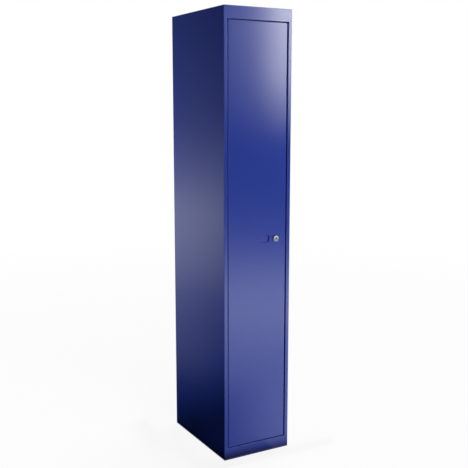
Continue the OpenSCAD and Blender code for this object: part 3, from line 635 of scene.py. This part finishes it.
def lying(azimuth, near, far, left, right, height):
    """Corners of a card that lies at a height over the floor along a heading, from near to far."""
    out, side = heading(azimuth)
    up = np.array(UPWARD) * height
    edges = ((near, left), (near, right), (far, right), (far, left))
    return [out * distance + side * s + up for distance, s in edges]


def fore_and_aft(x, front, back, low, high):
    """Corners of an upright card that runs from front to back."""
    return [(x, front, low), (x, back, low), (x, back, high), (x, front, high)]


def patch(left, right, front, back, height):
    """Corners of a card that lies square to the locker, at a height over the floor."""
    return [(left, front, height), (right, front, height), (right, back, height), (left, back, height)]


def sun(name, energy, spread, towards):
    """A broad even lamp, spread degrees wide, that shines from a direction and isn't mirrored in the
    paint."""
    data = bpy.data.lights.new(name, "SUN")
    data.energy = energy
    data.angle = math.radians(spread)
    lamp = bpy.data.objects.new(name, data)
    lamp.rotation_euler = Vector(towards).to_track_quat("Z", "Y").to_euler()
    lamp.visible_glossy = False
    bpy.context.scene.collection.objects.link(lamp)


FLOOR_R = 30
mesh = bpy.data.meshes.new("floor")
mesh.from_pydata(patch(-FLOOR_R, FLOOR_R, -FLOOR_R, FLOOR_R, height=0), [], [(0, 1, 2, 3)])
mesh.materials.append(studio_floor())
floor = bpy.data.objects.new("floor", mesh)
bpy.context.scene.collection.objects.link(floor)

AMBIENT = 0.10
world = bpy.data.worlds.new("studio_air")
bpy.context.scene.world = world
world.use_nodes = True
world.node_tree.nodes.clear()
air = world.node_tree
ambient = add(air, "ShaderNodeBackground", {"Color": (*WHITE, 1), "Strength": AMBIENT})
white = add(air, "ShaderNodeBackground", {"Color": (*WHITE, 1), "Strength": 1.0})
both = add(air, "ShaderNodeMixShader", {0: ray_share(air), 1: ambient.outputs[0], 2: white.outputs[0]})
add(air, "ShaderNodeOutputWorld", {"Surface": both.outputs[0]})

sun("front_light", energy=2.72, spread=50, towards=(-0.083, -0.947, 0.309))
sun("rear_light", energy=2.0, spread=60, towards=(0.694, 0.583, 0.423))

# Headings of what the door and the left side mirror to the camera
DOOR_LINE = 31
SIDE_LINE = 207
door_out, door_side = (tuple(line) for line in heading(DOOR_LINE))
side_out = tuple(heading(SIDE_LINE)[0])

# The cabinet seen from above
LEFT, RIGHT = -0.1525, 0.1525
FRONT, BACK = -0.2285, 0.2285
# Cards on the floor lie over each other, each a millimetre above the last
FIRST_SHEET, SECOND_SHEET, THIRD_SHEET, FOURTH_SHEET = 0.003, 0.004, 0.005, 0.006
# Where the floor card in front of the plinth reaches to, and where its right part starts
PLINTH_REACH = 0.33
PLINTH_SPLIT = 0.08
# The nearest of the door's floor cards ends this far in front of the locker's middle
NEAR_REACH = 1.0
# The dark flags by the foot of the plinth and of the left side
PLINTH_FLAG_Y = -0.286
SIDE_FLAG_X = -0.2725

WARM_WHITE = (1.0, 0.99, 0.88)
DARK = [(0, 0.001), (1, 0.001)]
# Soft light that isn't mirrored, and a flag that also casts a shade
SOFT = {"diffuse": True, "glossy": False}
SHADE = {"diffuse": True, "glossy": False, "shadow": True}

# The bright upper right of the door and the header, the light on the top panel, and a faint veil on the
# upper left of the door
card("upper_softbox", upright(DOOR_LINE, distance=1.25, left=-0.028, right=0.1, low=1.3, high=2.3), UPWARD,
     [(1.3, 1.5), (1.45, 8), (1.6, 17.5), (1.8, 21.5), (2.0, 26.5), (2.3, 25)],
     lights=painted, tint=WARM_WHITE)
card("top_softbox", patch(LEFT, RIGHT, FRONT, BACK, height=2.0), RIGHTWARD,
     [(LEFT, 1.6), (RIGHT, 1.8)], **SOFT)
card("upper_left_card", upright(DOOR_LINE, distance=1.24, left=-0.5, right=-0.03, low=1.25, high=2.3),
     UPWARD, [(1.25, 0), (1.45, 0.35), (1.6, 0.6), (2.3, 0.8)])

# The floor that the plinth and the door mirror, brightest in the door's lower third
card("plinth_floor_card",
     patch(left=-0.6, right=PLINTH_SPLIT, front=-PLINTH_REACH, back=FRONT, height=FOURTH_SHEET),
     TO_FRONT, [(-FRONT, 0.1), (PLINTH_REACH, 0.9)])
card("plinth_end_card",
     patch(left=PLINTH_SPLIT, right=0.8, front=-PLINTH_REACH, back=FRONT, height=FOURTH_SHEET),
     TO_FRONT, [(-FRONT, 0.3), (PLINTH_REACH, 1.8)])
card("near_floor_card", patch(left=-1, right=1.5, front=-NEAR_REACH, back=FRONT, height=THIRD_SHEET),
     door_side, [(-0.6, 0.3), (-0.23, 0.55), (0, 1.9), (0.6, 2.1)])
card("door_floor_card", patch(left=-3, right=5, front=-6, back=-NEAR_REACH, height=SECOND_SHEET),
     door_out, [(0.9, 1.3), (1.6, 1.95), (2.4, 3.55), (3.4, 4.5), (4.6, 0.2), (6.2, 0)])

# Dark walls: behind the door's floor, and on the left for what the corner of the left stile mirrors
card("door_flag", upright(DOOR_LINE, distance=6.3, left=-4, right=4, low=0.0, high=1.45), UPWARD, DARK)
card("left_flag", fore_and_aft(-2, front=-1.5, back=0.3, low=0, high=2.5), UPWARD, [(0, 0.05), (2.5, 0.05)])

# Soft light on the door from the right
card("right_softbox", fore_and_aft(1.1, front=-0.95, back=-0.45, low=0.7, high=1.4), UPWARD,
     [(0.7, 5.0), (1.4, 5.0)], **SOFT)

# Shade at the foot of the plinth and of the left side
flag_left, flag_right, left_top, right_top = -0.3, 0.35, 0.052, 0.026
plinth_flag_corners = [(flag_left, PLINTH_FLAG_Y, 0), (flag_right, PLINTH_FLAG_Y, 0),
                       (flag_right, PLINTH_FLAG_Y, right_top), (flag_left, PLINTH_FLAG_Y, left_top)]
card("plinth_flag", plinth_flag_corners, UPWARD, DARK, **SHADE)
flag_front, flag_back, front_top, back_top = -0.29, 0.35, 0.46, 0.08
side_flag_corners = [(SIDE_FLAG_X, flag_front, 0), (SIDE_FLAG_X, flag_back, 0),
                     (SIDE_FLAG_X, flag_back, back_top), (SIDE_FLAG_X, flag_front, front_top)]
card("side_flag", side_flag_corners, UPWARD, DARK, **SHADE)

# What the left side mirrors: a dark floor that lightens far out, and a wall that is brightest at 0.6 m and
# ends in the dark towards the stile
card("side_floor_flag", patch(left=-4, right=LEFT, front=FRONT, back=4, height=FIRST_SHEET), side_out,
     [(-0.6, 0), (0.6, 0.01), (1.4, 0.03), (3.2, 0.2)])
card("side_floor_card", lying(SIDE_LINE, near=0.4, far=3.2, left=-1, right=0.24, height=SECOND_SHEET),
     side_out, [(0.4, 0), (0.8, 0.05), (1.1, 0.19), (1.4, 0.28), (2.2, 0.42), (3.2, 0.6)])
card("side_edge_flag", upright(SIDE_LINE, distance=3.19, left=0.48, right=4, low=0, high=4), UPWARD, DARK)
card("side_card", upright(SIDE_LINE, distance=3.2, left=-3, right=0.6, low=0, high=4), UPWARD,
     [(0.0, 0.8), (0.3, 1.13), (0.6, 1.36), (0.9, 0.64), (1.3, 0.2), (1.8, 0.15), (2.6, 0.05), (4.0, 0)])

# Soft light on the left side from its front and from behind
card("left_softbox", fore_and_aft(-0.9, front=-0.45, back=-0.1, low=0.5, high=1.1), UPWARD,
     [(0.5, 2.0), (1.1, 2.0)], **SOFT)
card("side_softbox", fore_and_aft(-1.1, front=0.5, back=1.5, low=0.5, high=1.5), UPWARD,
     [(0.5, 3.2), (1.5, 5.4)], **SOFT)
